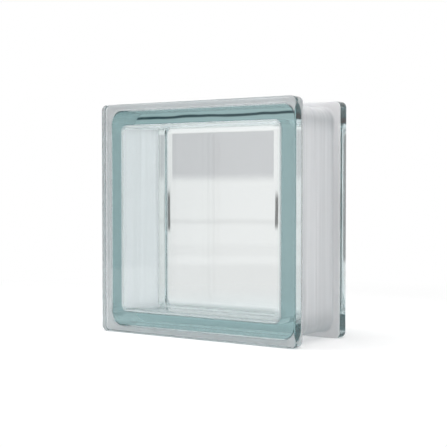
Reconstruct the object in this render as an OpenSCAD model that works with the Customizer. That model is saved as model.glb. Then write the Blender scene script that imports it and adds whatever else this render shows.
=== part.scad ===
// Hollow glass block: two pressed cups fused at mid-depth, with a coated mortar channel between their rims
// Millimetres; +Z is up, the front face looks along -Y, the block stands on its lower rims

/* [Block] */
// Width over the rims
block_w = 190; // [140:1:300]
// Height over the rims
block_h = 190; // [140:1:300]
// Depth from face to face
block_d = 80; // [60:1:110]

/* [Rims] */
// Depth of each rim along the block
rim_depth = 11; // [9:0.5:16]
// Height of the rims above the channel floor
rim_projection = 6; // [5.5:0.25:9]
// Corner radius of the rim seen from the front
rim_corner_r = 5; // [4:0.25:9]
// Rounding of the rim's two long edges
rim_edge_r = 1.2; // [1:0.1:2.5]

/* [Mortar channel] */
// Corner radius of the channel floor
channel_corner_r = 10; // [8:0.5:20]
// Fillet where the channel floor rises to a rim
foot_r = 2.5; // [2:0.25:3.25]
// Width of the fused seam bead
seam_w = 5; // [3:0.25:8]
// Height of the fused seam bead
seam_h = 0.3; // [0.2:0.1:0.8]

/* [Glass thickness] */
// Thickness of each face pane
pane_t = 7; // [5:0.25:12]
// Side wall at the fused seam
wall_at_seam = 9.5; // [5:0.25:14]
// How much thicker the side wall is where it meets a pane
wall_draft = 1; // [0.5:0.25:2]
// Corner radius of the cavity at the seam
cavity_corner_r = 7.5; // [7:0.5:18]
// Fillet between a side wall and a pane
cavity_fillet_r = 5.5; // [2:0.25:6]

/* [Edge coating] */
// Thickness of the white coat
coat_t = 0.4; // [0.2:0.05:0.8]
// Bare glass between the end of the coat and the outer plane of a rim
coat_margin = 0.2; // [0.1:0.05:0.5]

/* [Hidden] */
$fn = 96;
half_w = block_w / 2;
half_h = block_h / 2;
half_d = block_d / 2;
channel_half_w = half_w - rim_projection;
channel_half_h = half_h - rim_projection;
channel_half_d = half_d - rim_depth;
root_d = rim_depth / 2;
seam_r = (pow(seam_w / 2, 2) + pow(seam_h, 2)) / (2 * seam_h);
cavity_half_w = channel_half_w - wall_at_seam;
cavity_half_h = channel_half_h - wall_at_seam;
cavity_half_d = half_d - pane_t;
draft_angle = atan(wall_draft / cavity_half_d);
fillet_v = cavity_half_d - cavity_fillet_r;
fillet_u = cavity_corner_r - fillet_v * tan(draft_angle) - cavity_fillet_r / cos(draft_angle);
plate_t = coat_t + root_d;

// Quarter posts at the four corners, each turning the section about its own corner axis
module corner_posts(axis_x, axis_y) {
  for (i = [0 : 3]) {
    sx = (i == 0 || i == 3) ? 1 : -1;
    sy = (i < 2) ? 1 : -1;
    translate([sx * axis_x, sy * axis_y, 0])
      rotate([0, 0, 90 * i])
        rotate_extrude(angle = 90)
          children();
  }
}

// Section of a straight run: the edge section on both sides of a plain core
module run_section(axis, core_lo, core_hi) {
  translate([axis, 0])
    children();
  mirror([1, 0])
    translate([axis, 0])
      children();
  translate([-axis, core_lo])
    square([2 * axis, core_hi - core_lo]);
}

// Block with rounded corners: the edge section carried round a rectangle; depth runs along z
module rounded_block(half_x, half_y, corner_r, core_lo, core_hi) {
  axis_x = half_x - corner_r;
  axis_y = half_y - corner_r;
  corner_posts(axis_x, axis_y)
    children();
  rotate([90, 0, 0])
    linear_extrude(height = 2 * axis_y, center = true)
      run_section(axis_x, core_lo, core_hi)
        children();
  rotate([90, 0, 90])
    linear_extrude(height = 2 * axis_x, center = true)
      run_section(axis_y, core_lo, core_hi)
        children();
}

// Edge section of a rim: a bar with both outer edges rounded
module rim_section() {
  inner = rim_corner_r - rim_edge_r;
  square([inner, rim_depth]);
  translate([0, rim_edge_r])
    square([rim_corner_r, rim_depth - 2 * rim_edge_r]);
  for (v = [rim_edge_r, rim_depth - rim_edge_r])
    translate([inner, v])
      intersection() {
        circle(r = rim_edge_r);
        translate([0, -rim_edge_r])
          square([rim_edge_r, 2 * rim_edge_r]);
      }
}

// Concave fillet at the foot of a rim, rooted in the rim and thickened by the coat
module foot_section(grow) {
  translate([channel_corner_r, channel_half_d - foot_r])
    difference() {
      square([foot_r, foot_r + root_d]);
      translate([foot_r, 0])
        circle(r = foot_r - grow);
    }
}

// Edge section between the rims: channel floor, fused seam bead and both feet
module channel_section(grow) {
  translate([0, -channel_half_d - root_d])
    square([channel_corner_r + grow, 2 * (channel_half_d + root_d)]);
  intersection() {
    translate([channel_corner_r + seam_h - seam_r, 0])
      circle(r = seam_r + grow);
    translate([channel_corner_r - seam_h, -seam_w])
      square([3 * seam_h + grow, 2 * seam_w]);
  }
  foot_section(grow);
  mirror([0, 1])
    foot_section(grow);
}

// Edge section of a coated shoulder: a plate whose end wraps the rounded back edge of the rim
module shoulder_section() {
  inner = rim_corner_r - rim_edge_r;
  intersection() {
    union() {
      square([inner, plate_t]);
      translate([inner, root_d - rim_edge_r])
        circle(r = rim_edge_r + coat_t);
    }
    square([rim_corner_r - coat_margin, plate_t]);
  }
}

// Edge section of one half of the cavity: drafted wall, fillet and pane
module cavity_half_section() {
  polygon([
    [0, 0],
    [cavity_corner_r, 0],
    [fillet_u + cavity_fillet_r * cos(draft_angle), fillet_v + cavity_fillet_r * sin(draft_angle)],
    [fillet_u, fillet_v],
    [fillet_u, cavity_half_d],
    [0, cavity_half_d]
  ]);
  translate([fillet_u, fillet_v])
    intersection() {
      circle(r = cavity_fillet_r);
      square([cavity_fillet_r, cavity_fillet_r]);
    }
}

module rims() {
  for (z = [-half_d, half_d - rim_depth])
    translate([0, 0, z])
      rounded_block(half_w, half_h, rim_corner_r, 0, rim_depth)
        rim_section();
}

module barrel(grow) {
  core = channel_half_d + root_d;
  rounded_block(channel_half_w, channel_half_h, channel_corner_r, -core, core)
    channel_section(grow);
}

module cavity() {
  rounded_block(cavity_half_w, cavity_half_h, cavity_corner_r, -cavity_half_d, cavity_half_d) {
    cavity_half_section();
    mirror([0, 1])
      cavity_half_section();
  }
}

// Coat on the back of both rims, reaching into the glass that trims it
module shoulder_coats() {
  for (side = [0, 1])
    mirror([0, 0, side])
      translate([0, 0, coat_t - channel_half_d - plate_t])
        rounded_block(half_w, half_h, rim_corner_r, 0, plate_t)
          shoulder_section();
}

module stand_up() {
  translate([0, 0, half_h])
    rotate([90, 0, 0])
      children();
}

module glass_outside() {
  rims();
  barrel(0);
}

module glass_body() {
  color("paleturquoise")
    stand_up()
      difference() {
        glass_outside();
        cavity();
      }
}

module edge_coating() {
  color("white")
    stand_up()
      difference() {
        union() {
          barrel(coat_t);
          shoulder_coats();
        }
        glass_outside();
      }
}

glass_body();
edge_coating();
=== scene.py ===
import math

import bpy
import numpy as np
from bpy.props import FloatProperty, FloatVectorProperty, IntProperty, PointerProperty
from bpy.types import Operator, Panel, PropertyGroup
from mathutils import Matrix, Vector


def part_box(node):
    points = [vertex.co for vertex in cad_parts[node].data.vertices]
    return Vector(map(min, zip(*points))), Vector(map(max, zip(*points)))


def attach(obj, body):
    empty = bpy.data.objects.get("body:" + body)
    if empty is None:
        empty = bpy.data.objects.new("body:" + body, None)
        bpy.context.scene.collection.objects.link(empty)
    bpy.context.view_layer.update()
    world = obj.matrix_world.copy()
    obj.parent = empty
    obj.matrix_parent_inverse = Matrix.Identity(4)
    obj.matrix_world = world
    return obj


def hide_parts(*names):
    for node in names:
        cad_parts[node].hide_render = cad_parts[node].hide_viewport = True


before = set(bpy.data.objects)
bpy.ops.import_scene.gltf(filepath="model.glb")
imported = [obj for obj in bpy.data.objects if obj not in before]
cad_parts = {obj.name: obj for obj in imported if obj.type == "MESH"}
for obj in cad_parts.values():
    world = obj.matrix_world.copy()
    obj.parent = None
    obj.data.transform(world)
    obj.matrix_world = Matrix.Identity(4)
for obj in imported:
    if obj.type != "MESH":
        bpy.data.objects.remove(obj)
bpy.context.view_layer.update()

bl_info = {
    "name": "Glass Block",
    "version": (1, 0, 0),
    "blender": (4, 5, 0),
    "location": "3D View > Sidebar > Glass Block",
    "description": "Dresses a hollow glass block: fused glass body, white edge coat and a small studio",
    "category": "Object",
}

GLASS_LO, GLASS_HI = (np.array(corner, float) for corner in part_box("glass_body"))
MM = 0.001
# Share of its true slope that the fused bead shows in the glass
BEAD_LEAN = 0.08
# Hair gap between the coat and the glass, so that their faces never coincide
COAT_GAP = 0.02 * MM
# Roughness of the coated shoulders against that of the channel, and how near their plane counts as on it
SHOULDER_GRIND = 3.0
SHOULDER_EDGE = 1e-6
SHOULDER_BAND = 1e-5
# Darkest and lightest spots of the coat against its own colour
MOTTLE = (0.76, 1.05)


def length(name, description, millimetres):
    """A length property in metres, with its default given in millimetres."""
    return FloatProperty(
        name=name, description=description, default=millimetres * MM, unit="LENGTH", precision=5)


class BlockSizes(PropertyGroup):
    """Sizes of the glass and of its coat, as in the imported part."""

    rim_depth: length("Rim depth", "Depth of each rim along the block", 11.0)
    rim_projection: length("Rim projection", "Height of the rims above the channel floor", 6.0)
    rim_corner: length("Rim corner", "Corner radius of the rim seen from the front", 5.0)
    rim_edge: length("Rim edge", "Rounding of the rim's two long edges", 1.2)
    channel_corner: length("Channel corner", "Corner radius of the channel floor", 10.0)
    foot: length("Foot fillet", "Fillet where the channel floor rises to a rim", 2.5)
    seam_width: length("Seam width", "Width of the fused seam bead", 5.0)
    seam_height: length("Seam height", "Height of the fused seam bead", 0.3)
    pane: length("Pane", "Thickness of each face pane", 7.0)
    wall_at_seam: length("Wall at seam", "Side wall thickness at the fused seam", 9.5)
    wall_draft: length("Wall draft", "How much thicker the side wall is at a pane", 1.0)
    cavity_corner: length("Cavity corner", "Corner radius of the cavity at the seam", 7.5)
    cavity_fillet: length("Cavity fillet", "Fillet between a side wall and a pane", 5.5)
    coat: length("Coat", "Thickness of the white coat", 0.4)
    coat_margin: length("Coat margin", "Bare glass between the coat's end and a rim's outer plane", 0.2)
    corner_steps: IntProperty(
        name="Corner steps", description="Faces round each quarter corner", default=24, min=4)
    arc_steps: IntProperty(
        name="Arc steps", description="Faces across each rounded edge of the section", default=14, min=3)


class BlockLooks(PropertyGroup):
    """Colours of the glass, the coat and the studio."""

    glass_absorb: FloatVectorProperty(
        name="Glass tint", description="Colour that the glass keeps over a long way through it",
        default=(0.06, 0.385, 0.41), subtype="COLOR", min=0.0, max=1.0)
    glass_density: FloatProperty(
        name="Glass density", description="How fast the glass takes colour, per metre",
        default=15.5, min=0.0)
    skin_roughness: FloatProperty(
        name="Skin roughness", description="Roughness of the pressed skin in the mortar channel",
        default=0.25, min=0.0, max=1.0, subtype="FACTOR")
    coat_colour: FloatVectorProperty(
        name="Coat colour", description="White of the edge coat",
        default=(0.95, 0.942, 0.95), subtype="COLOR", min=0.0, max=1.0)
    coat_through: FloatProperty(
        name="Coat let-through", description="Share of the light that passes each face of the thin coat",
        default=0.7, min=0.0, max=1.0, subtype="FACTOR")
    floor_colour: FloatVectorProperty(
        name="Floor colour", description="Pale studio floor",
        default=(0.77, 0.77, 0.77), subtype="COLOR", min=0.0, max=1.0)


def edge_path(steps):
    """Rounded-rectangle path in the pane's plane, as arrays over its points.

    Corner k is a quarter circle from 90 k to 90 (k + 1) degrees about a centre whose signs are the
    corner's own; the straight sides are the gaps between one quarter's end and the next one's start.
    """
    angle = np.linspace(0.0, np.pi / 2, steps + 1)
    theta = (np.arange(4)[:, None] * np.pi / 2 + angle[None, :]).ravel()
    sign_x = np.repeat([1.0, -1.0, -1.0, 1.0], steps + 1)
    sign_z = np.repeat([1.0, 1.0, -1.0, -1.0], steps + 1)
    return sign_x, sign_z, np.cos(theta), np.sin(theta)


def stretch(inset, y, corner, out, depth):
    """One smooth stretch of a section: a row for each point, with inset, y, corner radius and normal."""
    columns = (np.asarray(a, float) for a in (inset, y, corner, out, depth))
    return np.stack(np.broadcast_arrays(*columns), axis=1)


def join_section(stretches):
    """Chains stretches that share end points into rows, with two end normals for each row of faces."""
    rows = np.concatenate([s[:-1, :3] for s in stretches] + [stretches[-1][-1:, :3]])
    start = np.concatenate([s[:-1, 3:] for s in stretches])
    end = np.concatenate([s[1:, 3:] for s in stretches])
    return rows, start, end


def carry_round(section, steps, closed):
    """Carries a section round the block's rectangle.

    Row i has inset a, depth y and corner radius r; path point j has corner signs s and a unit direction
    (c, d). x = s_x (W/2 - a - r) + r c and z = H/2 + s_z (H/2 - a - r) + r d, so each row is a rounded
    rectangle of its own.
    """
    rows, start, end = section
    sign_x, sign_z, cos, sin = edge_path(steps)
    half_w = (GLASS_HI[0] - GLASS_LO[0]) / 2
    half_h = (GLASS_HI[2] - GLASS_LO[2]) / 2
    inset, y, corner = (rows[:, i, None] for i in range(3))
    x = sign_x * (half_w - inset - corner) + corner * cos + (GLASS_HI[0] + GLASS_LO[0]) / 2
    z = sign_z * (half_h - inset - corner) + corner * sin + (GLASS_HI[2] + GLASS_LO[2]) / 2
    points = np.stack(np.broadcast_arrays(x, y, z), axis=2)
    count, width = points.shape[:2]
    i = np.arange(len(start))[:, None]
    j = np.arange(width)[None, :]
    after = (i + 1) % count if closed else i + 1
    nxt = (j + 1) % width
    quads = np.stack(np.broadcast_arrays(
        i * width + j, i * width + nxt, after * width + nxt, after * width + j), axis=2)

    def turned(normal, column):
        """Section normals turned to the direction of each path point."""
        out, depth = normal[:, 0, None], normal[:, 1, None]
        return np.stack(np.broadcast_arrays(out * cos[column], depth, out * sin[column]), axis=2)

    here = np.arange(width)
    there = (here + 1) % width
    normals = np.stack(
        [turned(start, here), turned(start, there), turned(end, there), turned(end, here)], axis=2)
    return points.reshape(-1, 3), quads.reshape(-1, 4), normals.reshape(-1, 4, 3), width


def arc_of(steps, start=0.0, end=90.0):
    """Cosine and sine over an arc in degrees."""
    a = np.radians(np.linspace(start, end, steps + 1))
    return np.cos(a), np.sin(a)


def front_to_back(stretches):
    """A front half of a section followed by its mirror image in the seam's plane."""
    mirrored = []
    for s in reversed(stretches):
        m = s[::-1].copy()
        m[:, 1] *= -1.0
        m[:, 4] *= -1.0
        mirrored.append(m)
    return stretches + mirrored


def channel_half(s, steps, grow, lean=1.0):
    """Front half of the channel's section: concave foot, floor and half the seam bead.

    The bead's normals lean by a share of its true slope; the glass takes a small share, as a fused
    seam is soft.
    """
    half_d = (GLASS_HI[1] - GLASS_LO[1]) / 2
    wall = half_d - s.rim_depth
    cos, sin = arc_of(steps)
    foot_r = s.foot - grow
    centre = s.rim_projection - s.foot
    foot_corner = s.channel_corner + s.foot - foot_r * sin
    foot = stretch(centre + foot_r * sin, -wall + s.foot - foot_r * cos, foot_corner, sin, cos)
    seam_r = (s.seam_width ** 2 / 4 + s.seam_height ** 2) / (2 * s.seam_height)
    bead_r = seam_r + grow
    bead_inset = s.rim_projection - s.seam_height + seam_r
    rise = math.degrees(math.acos((bead_inset - s.rim_projection + grow) / bead_r))
    cos, sin = arc_of(steps, -rise, 0.0)
    bead_corner = s.channel_corner + s.rim_projection - bead_inset + bead_r * cos
    normal = arc_of(steps, -rise * lean, 0.0)
    bead = stretch(bead_inset - bead_r * cos, bead_r * sin, bead_corner, *normal)
    floor_y = [foot[-1, 1], bead[0, 1]]
    floor = stretch([s.rim_projection - grow] * 2, floor_y, s.channel_corner + grow, 1.0, 0.0)
    return [foot, floor, bead]


def glass_outside(s, steps):
    """Outer section of the glass from pane to pane: rounded rims and the channel between them."""
    half_d = (GLASS_HI[1] - GLASS_LO[1]) / 2
    wall = half_d - s.rim_depth
    cos, sin = arc_of(steps)
    low_cos = s.rim_edge * (1 - cos)
    low_sin = s.rim_edge * (1 - sin)
    edge = stretch(low_sin, -half_d + low_cos, s.rim_corner - low_sin, sin, -cos)
    side = stretch([0.0, 0.0], [-half_d + s.rim_edge, -wall - s.rim_edge], s.rim_corner, 1.0, 0.0)
    back = stretch(low_cos, -wall - low_sin, s.rim_corner - low_cos, cos, sin)
    channel = channel_half(s, steps, 0.0, BEAD_LEAN)
    shoulder = stretch([s.rim_edge, channel[0][0, 0]], [-wall, -wall],
                       [s.rim_corner - s.rim_edge, channel[0][0, 2]], 0.0, 1.0)
    return join_section(front_to_back([edge, side, back, shoulder] + channel))


def glass_inside(s, steps):
    """Section of the cavity from pane to pane: fillets and drafted walls, normals into the hollow."""
    half_d = (GLASS_HI[1] - GLASS_LO[1]) / 2 - s.pane
    draft = math.atan(s.wall_draft / half_d)
    inset_seam = s.rim_projection + s.wall_at_seam
    centre_y = half_d - s.cavity_fillet
    centre_u = s.cavity_corner - centre_y * math.tan(draft) - s.cavity_fillet / math.cos(draft)
    cos, sin = arc_of(steps, 90.0, math.degrees(draft))
    u = centre_u + s.cavity_fillet * cos
    y = centre_y + s.cavity_fillet * sin
    fillet = stretch(inset_seam + s.cavity_corner - u, -y, u, -cos, sin)
    wall = stretch([fillet[-1, 0], inset_seam], [fillet[-1, 1], 0.0], [fillet[-1, 2], s.cavity_corner],
                   [-math.cos(draft), -1.0], [math.sin(draft), 0.0])
    return join_section(front_to_back([fillet, wall]))


def coat_section(s, steps):
    """Closed section of the coat: its air side from rim to rim, then its glass side back again.

    Each side wraps the rounded back edge of a rim as an arc that is thickened with it, and ends beside
    the rim's outer plane, where a short face joins the two sides.
    """
    half_d = (GLASS_HI[1] - GLASS_LO[1]) / 2
    wall = half_d - s.rim_depth
    sides = []
    for grow in (s.coat, COAT_GAP):
        r = s.rim_edge + grow
        wrap = math.degrees(math.acos((s.rim_edge - s.coat_margin) / r))
        cos, sin = arc_of(steps, wrap, 90.0)
        edge_corner = s.rim_corner - s.rim_edge + r * cos
        edge = stretch(s.rim_edge - r * cos, -wall - s.rim_edge + r * sin, edge_corner, cos, sin)
        channel = channel_half(s, steps, grow)
        shoulder = stretch([edge[-1, 0], channel[0][0, 0]], [-wall + grow] * 2,
                           [edge[-1, 2], channel[0][0, 2]], 0.0, 1.0)
        sides.append(front_to_back([edge, shoulder] + channel))
    air, glass = sides
    back = []
    for part in reversed(glass):
        turned = part[::-1].copy()
        turned[:, 3:] *= -1.0
        back.append(turned)
    corner = s.rim_corner - s.coat_margin
    far = stretch(s.coat_margin, [air[-1][-1, 1], back[0][0, 1]], corner, 1.0, 0.0)
    near = stretch(s.coat_margin, [back[-1][-1, 1], air[0][0, 1]], corner, 1.0, 0.0)
    rows, start, end = join_section(air + [far] + back + [near])
    return rows[:-1], start, end


def mesh_piece(name, points, faces, normals, skin=None):
    """Makes an object from arrays of points and faces, smooth, with a normal for every face corner.

    A skin array, one number for each face, is kept as the face attribute "pressed_skin".
    """
    mesh = bpy.data.meshes.new(name)
    mesh.from_pydata(points, [], faces)
    mesh.polygons.foreach_set("use_smooth", np.ones(len(mesh.polygons), bool))
    if mesh.validate(clean_customdata=False):
        raise RuntimeError(name + ": the mesh had faulty faces")
    mesh.normals_split_custom_set(np.ascontiguousarray(normals, np.float32))
    if skin is not None:
        pressed = mesh.attributes.new("pressed_skin", "FLOAT", "FACE")
        pressed.data.foreach_set("value", np.asarray(skin, np.float32))
    mesh.update()
    piece = bpy.data.objects.new(name, mesh)
    bpy.context.scene.collection.objects.link(piece)
    return piece


def new_material(name):
    """A material with a cleared node tree: the material, its tree and its output node."""
    material = bpy.data.materials.new(name)
    material.use_nodes = True
    tree = material.node_tree
    tree.nodes.clear()
    return material, tree, tree.nodes.new("ShaderNodeOutputMaterial")


def drift_group():
    """Shared node group: slow drift of a pressed or sprayed surface, as a height and a mask."""
    name = "surface_drift"
    if name in bpy.data.node_groups:
        return bpy.data.node_groups[name]
    group = bpy.data.node_groups.new(name, "ShaderNodeTree")
    for label, default in (("Broad Scale", 30.0), ("Fine Scale", 400.0)):
        socket = group.interface.new_socket(name=label, in_out="INPUT", socket_type="NodeSocketFloat")
        socket.default_value = default
    group.interface.new_socket(name="Height", in_out="OUTPUT", socket_type="NodeSocketFloat")
    group.interface.new_socket(name="Mask", in_out="OUTPUT", socket_type="NodeSocketFloat")
    inside = group.nodes.new("NodeGroupInput")
    outside = group.nodes.new("NodeGroupOutput")
    place = group.nodes.new("ShaderNodeTexCoord")
    broad = group.nodes.new("ShaderNodeTexNoise")
    broad.inputs["Detail"].default_value = 1.5
    fine = group.nodes.new("ShaderNodeTexNoise")
    fine.inputs["Detail"].default_value = 4.0
    group.links.new(place.outputs["Object"], broad.inputs["Vector"])
    group.links.new(place.outputs["Object"], fine.inputs["Vector"])
    group.links.new(inside.outputs["Broad Scale"], broad.inputs["Scale"])
    group.links.new(inside.outputs["Fine Scale"], fine.inputs["Scale"])
    group.links.new(broad.outputs["Fac"], outside.inputs["Height"])
    group.links.new(fine.outputs["Fac"], outside.inputs["Mask"])
    return group


def rings_group():
    """Shared node group: fine rings of the mould, which run round the block and vary along its depth."""
    name = "mould_rings"
    if name in bpy.data.node_groups:
        return bpy.data.node_groups[name]
    group = bpy.data.node_groups.new(name, "ShaderNodeTree")
    socket = group.interface.new_socket(name="Rings", in_out="INPUT", socket_type="NodeSocketFloat")
    socket.default_value = 500.0
    group.interface.new_socket(name="Height", in_out="OUTPUT", socket_type="NodeSocketFloat")
    group.interface.new_socket(name="Mask", in_out="OUTPUT", socket_type="NodeSocketFloat")
    inside = group.nodes.new("NodeGroupInput")
    outside = group.nodes.new("NodeGroupOutput")
    place = group.nodes.new("ShaderNodeTexCoord")
    spread = group.nodes.new("ShaderNodeCombineXYZ")
    spread.inputs["X"].default_value = 5.0
    spread.inputs["Z"].default_value = 5.0
    scaled = group.nodes.new("ShaderNodeVectorMath")
    scaled.operation = "MULTIPLY"
    noise = group.nodes.new("ShaderNodeTexNoise")
    noise.inputs["Scale"].default_value = 1.0
    noise.inputs["Detail"].default_value = 3.0
    group.links.new(inside.outputs["Rings"], spread.inputs["Y"])
    group.links.new(place.outputs["Object"], scaled.inputs[0])
    group.links.new(spread.outputs["Vector"], scaled.inputs[1])
    group.links.new(scaled.outputs["Vector"], noise.inputs["Vector"])
    group.links.new(noise.outputs["Fac"], outside.inputs["Height"])
    stretched = group.nodes.new("ShaderNodeMapRange")
    stretched.inputs["From Min"].default_value = 0.35
    stretched.inputs["From Max"].default_value = 0.65
    group.links.new(noise.outputs["Fac"], stretched.inputs["Value"])
    group.links.new(stretched.outputs["Result"], outside.inputs["Mask"])
    return group


def clear_glass(looks):
    """Clear pressed glass: sharp, faintly rippled, with a green-blue tint along a long way through it."""
    material, tree, output = new_material("clear_pressed_glass")
    shader = tree.nodes.new("ShaderNodeBsdfPrincipled")
    shader.inputs["Base Color"].default_value = (1.0, 1.0, 1.0, 1.0)
    shader.inputs["Transmission Weight"].default_value = 1.0
    shader.inputs["IOR"].default_value = 1.52
    skin = tree.nodes.new("ShaderNodeAttribute")
    skin.attribute_name = "pressed_skin"
    grind = tree.nodes.new("ShaderNodeMath")
    grind.operation = "MULTIPLY"
    grind.inputs[1].default_value = looks.skin_roughness
    tree.links.new(skin.outputs["Fac"], grind.inputs[0])
    tree.links.new(grind.outputs["Value"], shader.inputs["Roughness"])
    drift = tree.nodes.new("ShaderNodeGroup")
    drift.node_tree = drift_group()
    drift.inputs["Broad Scale"].default_value = 28.0
    bump = tree.nodes.new("ShaderNodeBump")
    bump.inputs["Strength"].default_value = 0.07
    bump.inputs["Distance"].default_value = 0.0006
    tree.links.new(drift.outputs["Height"], bump.inputs["Height"])
    rings = tree.nodes.new("ShaderNodeGroup")
    rings.node_tree = rings_group()
    rings.inputs["Rings"].default_value = 450.0
    groove = tree.nodes.new("ShaderNodeBump")
    groove.inputs["Strength"].default_value = 1.0
    groove.inputs["Distance"].default_value = 0.00005
    tree.links.new(rings.outputs["Height"], groove.inputs["Height"])
    tree.links.new(bump.outputs["Normal"], groove.inputs["Normal"])
    tree.links.new(groove.outputs["Normal"], shader.inputs["Normal"])
    tint = tree.nodes.new("ShaderNodeVolumeAbsorption")
    tint.inputs["Color"].default_value = (*looks.glass_absorb, 1.0)
    tint.inputs["Density"].default_value = looks.glass_density
    tree.links.new(shader.outputs["BSDF"], output.inputs["Surface"])
    tree.links.new(tint.outputs["Volume"], output.inputs["Volume"])
    return material


def white_coat(looks):
    """Thin matt white sprayed coat: ringed by the mould, finely grained, letting some light through."""
    material, tree, output = new_material("white_edge_coat")
    shader = tree.nodes.new("ShaderNodeBsdfPrincipled")
    shader.inputs["Roughness"].default_value = 0.6
    drift = tree.nodes.new("ShaderNodeGroup")
    drift.node_tree = drift_group()
    drift.inputs["Fine Scale"].default_value = 900.0
    mottle = tree.nodes.new("ShaderNodeMix")
    mottle.data_type = "RGBA"
    white = np.array(looks.coat_colour)
    mottle.inputs["A"].default_value = (*(white * MOTTLE[0]), 1.0)
    mottle.inputs["B"].default_value = (*np.minimum(white * MOTTLE[1], 1.0), 1.0)
    rings = tree.nodes.new("ShaderNodeGroup")
    rings.node_tree = rings_group()
    rings.inputs["Rings"].default_value = 300.0
    tree.links.new(rings.outputs["Mask"], mottle.inputs["Factor"])
    tree.links.new(mottle.outputs["Result"], shader.inputs["Base Color"])
    bump = tree.nodes.new("ShaderNodeBump")
    bump.inputs["Strength"].default_value = 0.2
    bump.inputs["Distance"].default_value = 0.0001
    tree.links.new(drift.outputs["Mask"], bump.inputs["Height"])
    tree.links.new(bump.outputs["Normal"], shader.inputs["Normal"])
    through = tree.nodes.new("ShaderNodeBsdfTranslucent")
    through.inputs["Color"].default_value = (*looks.coat_colour, 1.0)
    blend = tree.nodes.new("ShaderNodeMixShader")
    blend.inputs["Fac"].default_value = looks.coat_through
    tree.links.new(shader.outputs["BSDF"], blend.inputs[1])
    tree.links.new(through.outputs["BSDF"], blend.inputs[2])
    tree.links.new(blend.outputs["Shader"], output.inputs["Surface"])
    return material


class BLOCK_OT_glass_body(Operator):
    """Casts the fused glass body: its outer skin and the sealed cavity"""

    bl_idname = "glass_block.glass_body"
    bl_label = "Glass body"

    def execute(self, context):
        sizes, looks = context.scene.block_sizes, context.scene.block_looks
        steps = sizes.corner_steps
        outer = glass_outside(sizes, sizes.arc_steps)
        points, quads, normals, width = carry_round(outer, steps, False)
        front = list(range(width))
        back = list(range(len(points) - width, len(points)))[::-1]
        inner = glass_inside(sizes, sizes.arc_steps)
        points_in, quads_in, normals_in, _ = carry_round(inner, steps, False)
        base = len(points)
        front_in = list(range(base, base + width))[::-1]
        back_in = list(range(base + len(points_in) - width, base + len(points_in)))
        panes = [front, back, front_in, back_in]
        faces = quads[:, ::-1].tolist() + (quads_in + base).tolist() + panes
        flat = [np.tile([0.0, d, 0.0], (width, 1)) for d in (-1.0, 1.0, 1.0, -1.0)]
        around = [normals[:, ::-1].reshape(-1, 3), normals_in.reshape(-1, 3)]
        corner_normals = np.concatenate(around + flat)
        rows = outer[0]
        channel_end = (GLASS_HI[1] - GLASS_LO[1]) / 2 - sizes.rim_depth - SHOULDER_EDGE
        middle = np.abs(rows[:-1, 1] + rows[1:, 1]) / 2
        on_shoulder = np.abs(middle - channel_end) < SHOULDER_BAND
        grind = (middle < channel_end) * 1.0 + on_shoulder * SHOULDER_GRIND
        skin = np.concatenate([np.repeat(grind, width), np.zeros(len(quads_in) + len(panes))])
        all_points = np.concatenate([points, points_in])
        piece = mesh_piece("glass_body_cast", all_points, faces, corner_normals, skin)
        piece.data.materials.append(clear_glass(looks))
        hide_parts("glass_body")
        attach(piece, "root")
        return {"FINISHED"}


class BLOCK_OT_edge_coating(Operator):
    """Sprays the white coat on the mortar channel and the backs of both rims"""

    bl_idname = "glass_block.edge_coating"
    bl_label = "Edge coating"

    def execute(self, context):
        sizes, looks = context.scene.block_sizes, context.scene.block_looks
        section = coat_section(sizes, sizes.arc_steps)
        points, quads, normals, _ = carry_round(section, sizes.corner_steps, True)
        corner_normals = normals[:, ::-1].reshape(-1, 3)
        piece = mesh_piece("edge_coating_skin", points, quads[:, ::-1].tolist(), corner_normals)
        piece.data.materials.append(white_coat(looks))
        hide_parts("edge_coating")
        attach(piece, "root")
        return {"FINISHED"}


# The camera solved from the photo: place in metres, angles in degrees, focal length and picture in pixels
CAMERA_PLACE = (0.5110, -0.7398, 0.1233)
CAMERA_YAW = 34.51
CAMERA_PITCH = -2.03
FOCAL_PIXELS = 1090.8
PICTURE_PIXELS = 447.0
SENSOR_WIDTH = 36.0
BLOCK_MIDDLE = (0.0, 0.0, 0.095)
FLOOR_REACH = 4.0
# Floor's glow near the block, and the distances over which it fades into the sweep
GLASS_SWEEP = (0.2, 0.12, 0.45)
CAMERA_SWEEP = (0.36, 0.18, 0.55)
# Dim room for matt surfaces: level, gain away from the camera and gain upwards
ROOM = (0.34, 0.05, 0.2)
# Lobes of the studio: direction, cosines where each starts and is full, and its strength
ROOM_LOBE = ((-0.88, -0.47, 0.0), 0.55, 0.85, 0.25)
DIM_LOBE = ((-0.788, -0.616, 0.0), 0.945, 0.985, 0.75)
# Tint of the light that the glass shows
WARM = (1.02, 0.975, 0.965)
# Soft boxes: name, place, width, height and watts
LAMPS = (
    ("overhead_softbox", (0.0, -0.06, 0.51), 0.30, 0.16, 1.25),
    ("left_softbox", (-0.72, -0.36, 0.20), 0.50, 0.40, 3.9),
    ("right_softbox", (0.46, -0.12, 0.58), 0.50, 0.40, 0.8),
)
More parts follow.
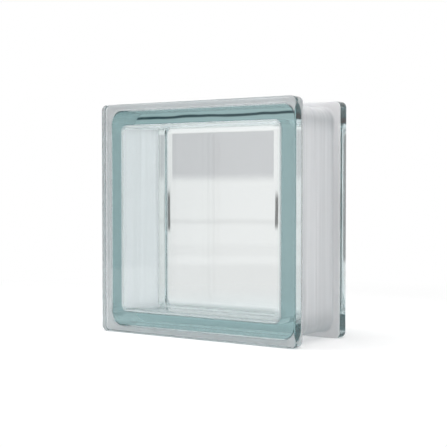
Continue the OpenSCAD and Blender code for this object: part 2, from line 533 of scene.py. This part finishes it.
# What the glass shows of the studio: side (1 behind, 0 all round), left from and to, its softness,
# height from and to, its softness, slant and colour
PATCHES = (
    (0, -2.0, 2.0, 0.01, -2.0, -0.118, 0.010, 0.0, (0.92, 0.92, 0.92)),
    (1, -0.60, 0.60, 0.05, -0.095, -0.070, 0.006, 0.0, (0.95, 0.95, 0.95)),
    (1, -0.60, 0.60, 0.05, -0.0375, -0.0315, 0.0030, 0.0, (0.90, 0.90, 0.90)),
    (1, -0.60, 0.60, 0.05, 0.14, 0.75, 0.030, 0.0, (1.12, 1.12, 1.12)),
    (1, -0.0555, 0.0482, 0.0015, 0.0060, 0.052, 0.0055, 0.01, (0.68, 0.68, 0.70)),
    (1, -0.450, -0.200, 0.030, -0.042, -0.009, 0.0060, 0.0, (0.15, 0.15, 0.15)),
    (1, 0.340, 0.800, 0.030, -0.046, -0.007, 0.0060, 0.0, (0.12, 0.12, 0.12)),
    (1, -0.300, 0.300, 0.050, 0.0625, 0.0649, 0.0006, 0.04, (0.03, 0.10, 0.12)),
)


def add_math(tree, operation, *given):
    """Adds a Math node whose inputs are numbers or sockets, and returns its output."""
    node = tree.nodes.new("ShaderNodeMath")
    node.operation = operation
    for socket, value in zip(node.inputs, given):
        if isinstance(value, float):
            socket.default_value = value
        else:
            tree.links.new(value, socket)
    return node.outputs["Value"]


def add_step(tree, value, start, full, top=1.0):
    """Adds a smooth step of a socket from 0 at start to top at full, and returns its output."""
    node = tree.nodes.new("ShaderNodeMapRange")
    node.interpolation_type = "SMOOTHSTEP"
    node.inputs["From Min"].default_value = start
    node.inputs["From Max"].default_value = full
    node.inputs["To Max"].default_value = top
    tree.links.new(value, node.inputs["Value"])
    return node.outputs["Result"]


def add_dot(tree, vector, direction):
    """Adds the part of a vector socket along a direction, and returns its output."""
    node = tree.nodes.new("ShaderNodeVectorMath")
    node.operation = "DOT_PRODUCT"
    node.inputs[1].default_value = direction
    tree.links.new(vector, node.inputs[0])
    return node.outputs["Value"]


def add_window(tree, value, start, end, soft):
    """Adds a window of a socket, 1 from start to end and 0 outside, and returns its output."""
    rise = add_step(tree, value, start - soft, start + soft)
    return add_math(tree, "MULTIPLY", rise, add_step(tree, value, end + soft, end - soft))


def add_lobe(tree, vector, direction, start, full, top):
    """Adds a lobe of strength top round a direction, by the cosine to it, and returns its output."""
    return add_step(tree, add_dot(tree, vector, direction), start, full, top)


def glass_rays(tree, path):
    """Adds the test for rays that leave the glass, through it or off it, and returns its output."""
    return add_math(tree, "MAXIMUM", path.outputs["Is Transmission Ray"], path.outputs["Is Glossy Ray"])


def add_studio_view(tree, direction):
    """Adds the studio view for a direction socket, and returns its colour."""
    view = tree.nodes.new("ShaderNodeGroup")
    view.node_tree = studio_view_group()
    tree.links.new(direction, view.inputs["Direction"])
    return view.outputs["Color"]


def camera_sides(tree, vector):
    """The parts of a direction along the camera's left, away from it and upwards."""
    yaw = math.radians(CAMERA_YAW)
    return (add_dot(tree, vector, (-math.cos(yaw), -math.sin(yaw), 0.0)),
            add_dot(tree, vector, (-math.sin(yaw), math.cos(yaw), 0.0)),
            add_dot(tree, vector, (0.0, 0.0, 1.0)))


def studio_view_group():
    """Shared node group: the pale studio that the glass shows, as a colour for each direction.

    A white with one dim side takes the patches in turn: each mixes its own colour in by the product of a
    window over the part along the camera's left, one over the slanted height and the half it lies in.
    """
    name = "studio_view"
    if name in bpy.data.node_groups:
        return bpy.data.node_groups[name]
    group = bpy.data.node_groups.new(name, "ShaderNodeTree")
    group.interface.new_socket(name="Direction", in_out="INPUT", socket_type="NodeSocketVector")
    group.interface.new_socket(name="Color", in_out="OUTPUT", socket_type="NodeSocketColor")
    direction = group.nodes.new("NodeGroupInput").outputs["Direction"]
    outside = group.nodes.new("NodeGroupOutput")
    left, back, height = camera_sides(group, direction)
    dim = add_lobe(group, direction, *DIM_LOBE)
    pale = add_math(group, "SUBTRACT", 1.0, dim)
    base = group.nodes.new("ShaderNodeCombineXYZ")
    for socket in base.inputs:
        group.links.new(pale, socket)
    shade = base.outputs["Vector"]
    for side, left_from, left_to, left_soft, low, high, soft, slant, colour in PATCHES:
        level = add_math(group, "MULTIPLY_ADD", left, slant, height)
        across = add_window(group, left, left_from, left_to, left_soft)
        mask = add_math(group, "MULTIPLY", add_window(group, level, low, high, soft), across)
        if side:
            mask = add_math(group, "MULTIPLY", mask, add_step(group, back, 0.0, 0.1 * side))
        mix = group.nodes.new("ShaderNodeMix")
        mix.data_type = "VECTOR"
        mix.inputs["B"].default_value = colour
        group.links.new(mask, mix.inputs["Factor"])
        group.links.new(shade, mix.inputs["A"])
        shade = mix.outputs["Result"]
    warm = group.nodes.new("ShaderNodeVectorMath")
    warm.operation = "MULTIPLY"
    warm.inputs[0].default_value = WARM
    group.links.new(shade, warm.inputs[1])
    group.links.new(warm.outputs["Vector"], outside.inputs["Color"])
    return group


class BLOCK_OT_stage(Operator):
    """Sets the pale floor, the studio light and the camera"""

    bl_idname = "glass_block.stage"
    bl_label = "Stage"

    def execute(self, context):
        looks = context.scene.block_looks
        scene = context.scene
        scene.view_settings.view_transform = "Standard"
        scene.cycles.blur_glossy = 0.0
        scene.cycles.max_bounces = 48
        scene.cycles.transmission_bounces = 40
        scene.cycles.glossy_bounces = 32
        scene.cycles.diffuse_bounces = 16
        self.floor(looks)
        self.sky(scene)
        self.lamps(scene)
        self.camera(scene)
        return {"FINISHED"}

    def floor(self, looks):
        """Pale matt floor; glass and camera see it run out into a sweep, diffuse light sees it plain."""
        mesh = bpy.data.meshes.new("studio_floor")
        corners = [(FLOOR_REACH * x, FLOOR_REACH * y, 0.0) for x, y in ((-1, -1), (1, -1), (1, 1), (-1, 1))]
        mesh.from_pydata(corners, [], [(0, 1, 2, 3)])
        floor = bpy.data.objects.new("studio_floor", mesh)
        bpy.context.scene.collection.objects.link(floor)
        material, tree, output = new_material("pale_floor")
        matt = tree.nodes.new("ShaderNodeBsdfDiffuse")
        matt.inputs["Color"].default_value = (*looks.floor_colour, 1.0)
        place = tree.nodes.new("ShaderNodeTexCoord")
        away = tree.nodes.new("ShaderNodeVectorMath")
        away.operation = "LENGTH"
        tree.links.new(place.outputs["Object"], away.inputs[0])
        path = tree.nodes.new("ShaderNodeLightPath")

        def sweep(glow, lift, near, far):
            """The matt floor with a little glow near the block, fading into a plain glow away from it."""
            haze = tree.nodes.new("ShaderNodeEmission")
            haze.inputs["Strength"].default_value = lift
            close = tree.nodes.new("ShaderNodeAddShader")
            tree.links.new(matt.outputs["BSDF"], close.inputs[0])
            tree.links.new(haze.outputs["Emission"], close.inputs[1])
            mix = tree.nodes.new("ShaderNodeMixShader")
            tree.links.new(add_step(tree, away.outputs["Value"], near, far), mix.inputs["Fac"])
            tree.links.new(close.outputs["Shader"], mix.inputs[1])
            tree.links.new(glow.outputs["Emission"], mix.inputs[2])
            return mix.outputs["Shader"]

        white = tree.nodes.new("ShaderNodeEmission")
        white.inputs["Strength"].default_value = 1.0
        banded = tree.nodes.new("ShaderNodeEmission")
        from_block = tree.nodes.new("ShaderNodeVectorMath")
        from_block.operation = "SUBTRACT"
        from_block.inputs[1].default_value = BLOCK_MIDDLE
        tree.links.new(place.outputs["Object"], from_block.inputs[0])
        direction = tree.nodes.new("ShaderNodeVectorMath")
        direction.operation = "NORMALIZE"
        tree.links.new(from_block.outputs["Vector"], direction.inputs[0])
        tree.links.new(add_studio_view(tree, direction.outputs["Vector"]), banded.inputs["Color"])
        through = tree.nodes.new("ShaderNodeMixShader")
        tree.links.new(glass_rays(tree, path), through.inputs["Fac"])
        tree.links.new(matt.outputs["BSDF"], through.inputs[1])
        tree.links.new(sweep(banded, *GLASS_SWEEP), through.inputs[2])
        pick = tree.nodes.new("ShaderNodeMixShader")
        tree.links.new(path.outputs["Is Camera Ray"], pick.inputs["Fac"])
        tree.links.new(through.outputs["Shader"], pick.inputs[1])
        tree.links.new(sweep(white, *CAMERA_SWEEP), pick.inputs[2])
        tree.links.new(pick.outputs["Shader"], output.inputs["Surface"])
        mesh.materials.append(material)

    def sky(self, scene):
        """White to the camera, the studio view to the glass, and to matt surfaces a plain dim room.

        With b the part of a direction away from the camera and z its height, the room is a level plus a
        gain times b plus a gain times z, with a little more at the front left.
        """
        world = bpy.data.worlds.new("studio")
        scene.world = world
        world.use_nodes = True
        tree = world.node_tree
        tree.nodes.clear()
        output = tree.nodes.new("ShaderNodeOutputWorld")
        place = tree.nodes.new("ShaderNodeTexCoord").outputs["Generated"]
        level, gain_back, gain_up = ROOM
        _, back, height = camera_sides(tree, place)
        room = add_math(tree, "MULTIPLY_ADD", height, gain_up, level)
        room = add_math(tree, "MULTIPLY_ADD", back, gain_back, room)
        room = add_math(tree, "ADD", room, add_lobe(tree, place, *ROOM_LOBE))
        path = tree.nodes.new("ShaderNodeLightPath")
        shown = tree.nodes.new("ShaderNodeMix")
        shown.data_type = "RGBA"
        tree.links.new(glass_rays(tree, path), shown.inputs["Factor"])
        tree.links.new(room, shown.inputs["A"])
        tree.links.new(add_studio_view(tree, place), shown.inputs["B"])
        studio = tree.nodes.new("ShaderNodeBackground")
        tree.links.new(shown.outputs["Result"], studio.inputs["Color"])
        white = tree.nodes.new("ShaderNodeBackground")
        white.inputs["Color"].default_value = (1.0, 1.0, 1.0, 1.0)
        pick = tree.nodes.new("ShaderNodeMixShader")
        tree.links.new(path.outputs["Is Camera Ray"], pick.inputs["Fac"])
        tree.links.new(studio.outputs["Background"], pick.inputs[1])
        tree.links.new(white.outputs["Background"], pick.inputs[2])
        tree.links.new(pick.outputs["Shader"], output.inputs["Surface"])

    def lamps(self, scene):
        """Soft boxes aimed at the block; they light its coat, and the glass does not show them."""
        for name, place, width, height, energy in LAMPS:
            light = bpy.data.lights.new(name, "AREA")
            light.shape = "RECTANGLE"
            light.size = width
            light.size_y = height
            light.energy = energy
            lamp = bpy.data.objects.new(name, light)
            lamp.location = place
            aim = Vector(BLOCK_MIDDLE) - Vector(place)
            lamp.rotation_euler = aim.to_track_quat("-Z", "Y").to_euler()
            lamp.visible_glossy = False
            lamp.visible_transmission = False
            scene.collection.objects.link(lamp)

    def camera(self, scene):
        """The photo's camera: its lens is the sensor's width times the focal over the picture pixels."""
        data = bpy.data.cameras.new("photo_camera")
        data.sensor_width = SENSOR_WIDTH
        data.lens = SENSOR_WIDTH * FOCAL_PIXELS / PICTURE_PIXELS
        camera = bpy.data.objects.new("photo_camera", data)
        camera.location = CAMERA_PLACE
        camera.rotation_euler = (math.radians(90.0 + CAMERA_PITCH), 0.0, math.radians(CAMERA_YAW))
        scene.collection.objects.link(camera)
        scene.camera = camera


class BLOCK_PT_panel(Panel):
    """Lists the steps that dress the block"""

    bl_idname = "BLOCK_PT_panel"
    bl_label = "Glass Block"
    bl_space_type = "VIEW_3D"
    bl_region_type = "UI"
    bl_category = "Glass Block"

    def draw(self, context):
        """Draws a button for each step, then the sizes and the looks."""
        for operator in OPERATORS:
            self.layout.operator(operator.bl_idname)
        for group in (context.scene.block_sizes, context.scene.block_looks):
            box = self.layout.box()
            for key in group.__annotations__:
                box.prop(group, key)


OPERATORS = (BLOCK_OT_glass_body, BLOCK_OT_edge_coating, BLOCK_OT_stage)
CLASSES = (BlockSizes, BlockLooks) + OPERATORS + (BLOCK_PT_panel,)


def register():
    """Registers the classes and hangs the settings on the scene."""
    for cls in CLASSES:
        bpy.utils.register_class(cls)
    bpy.types.Scene.block_sizes = PointerProperty(type=BlockSizes)
    bpy.types.Scene.block_looks = PointerProperty(type=BlockLooks)


def unregister():
    """Takes the settings off the scene and the classes out again."""
    del bpy.types.Scene.block_looks
    del bpy.types.Scene.block_sizes
    for cls in reversed(CLASSES):
        bpy.utils.unregister_class(cls)


def main():
    """Dresses the block and sets the stage."""
    register()
    bpy.ops.glass_block.glass_body()
    bpy.ops.glass_block.edge_coating()
    bpy.ops.glass_block.stage()


if __name__ == "__main__":
    main()
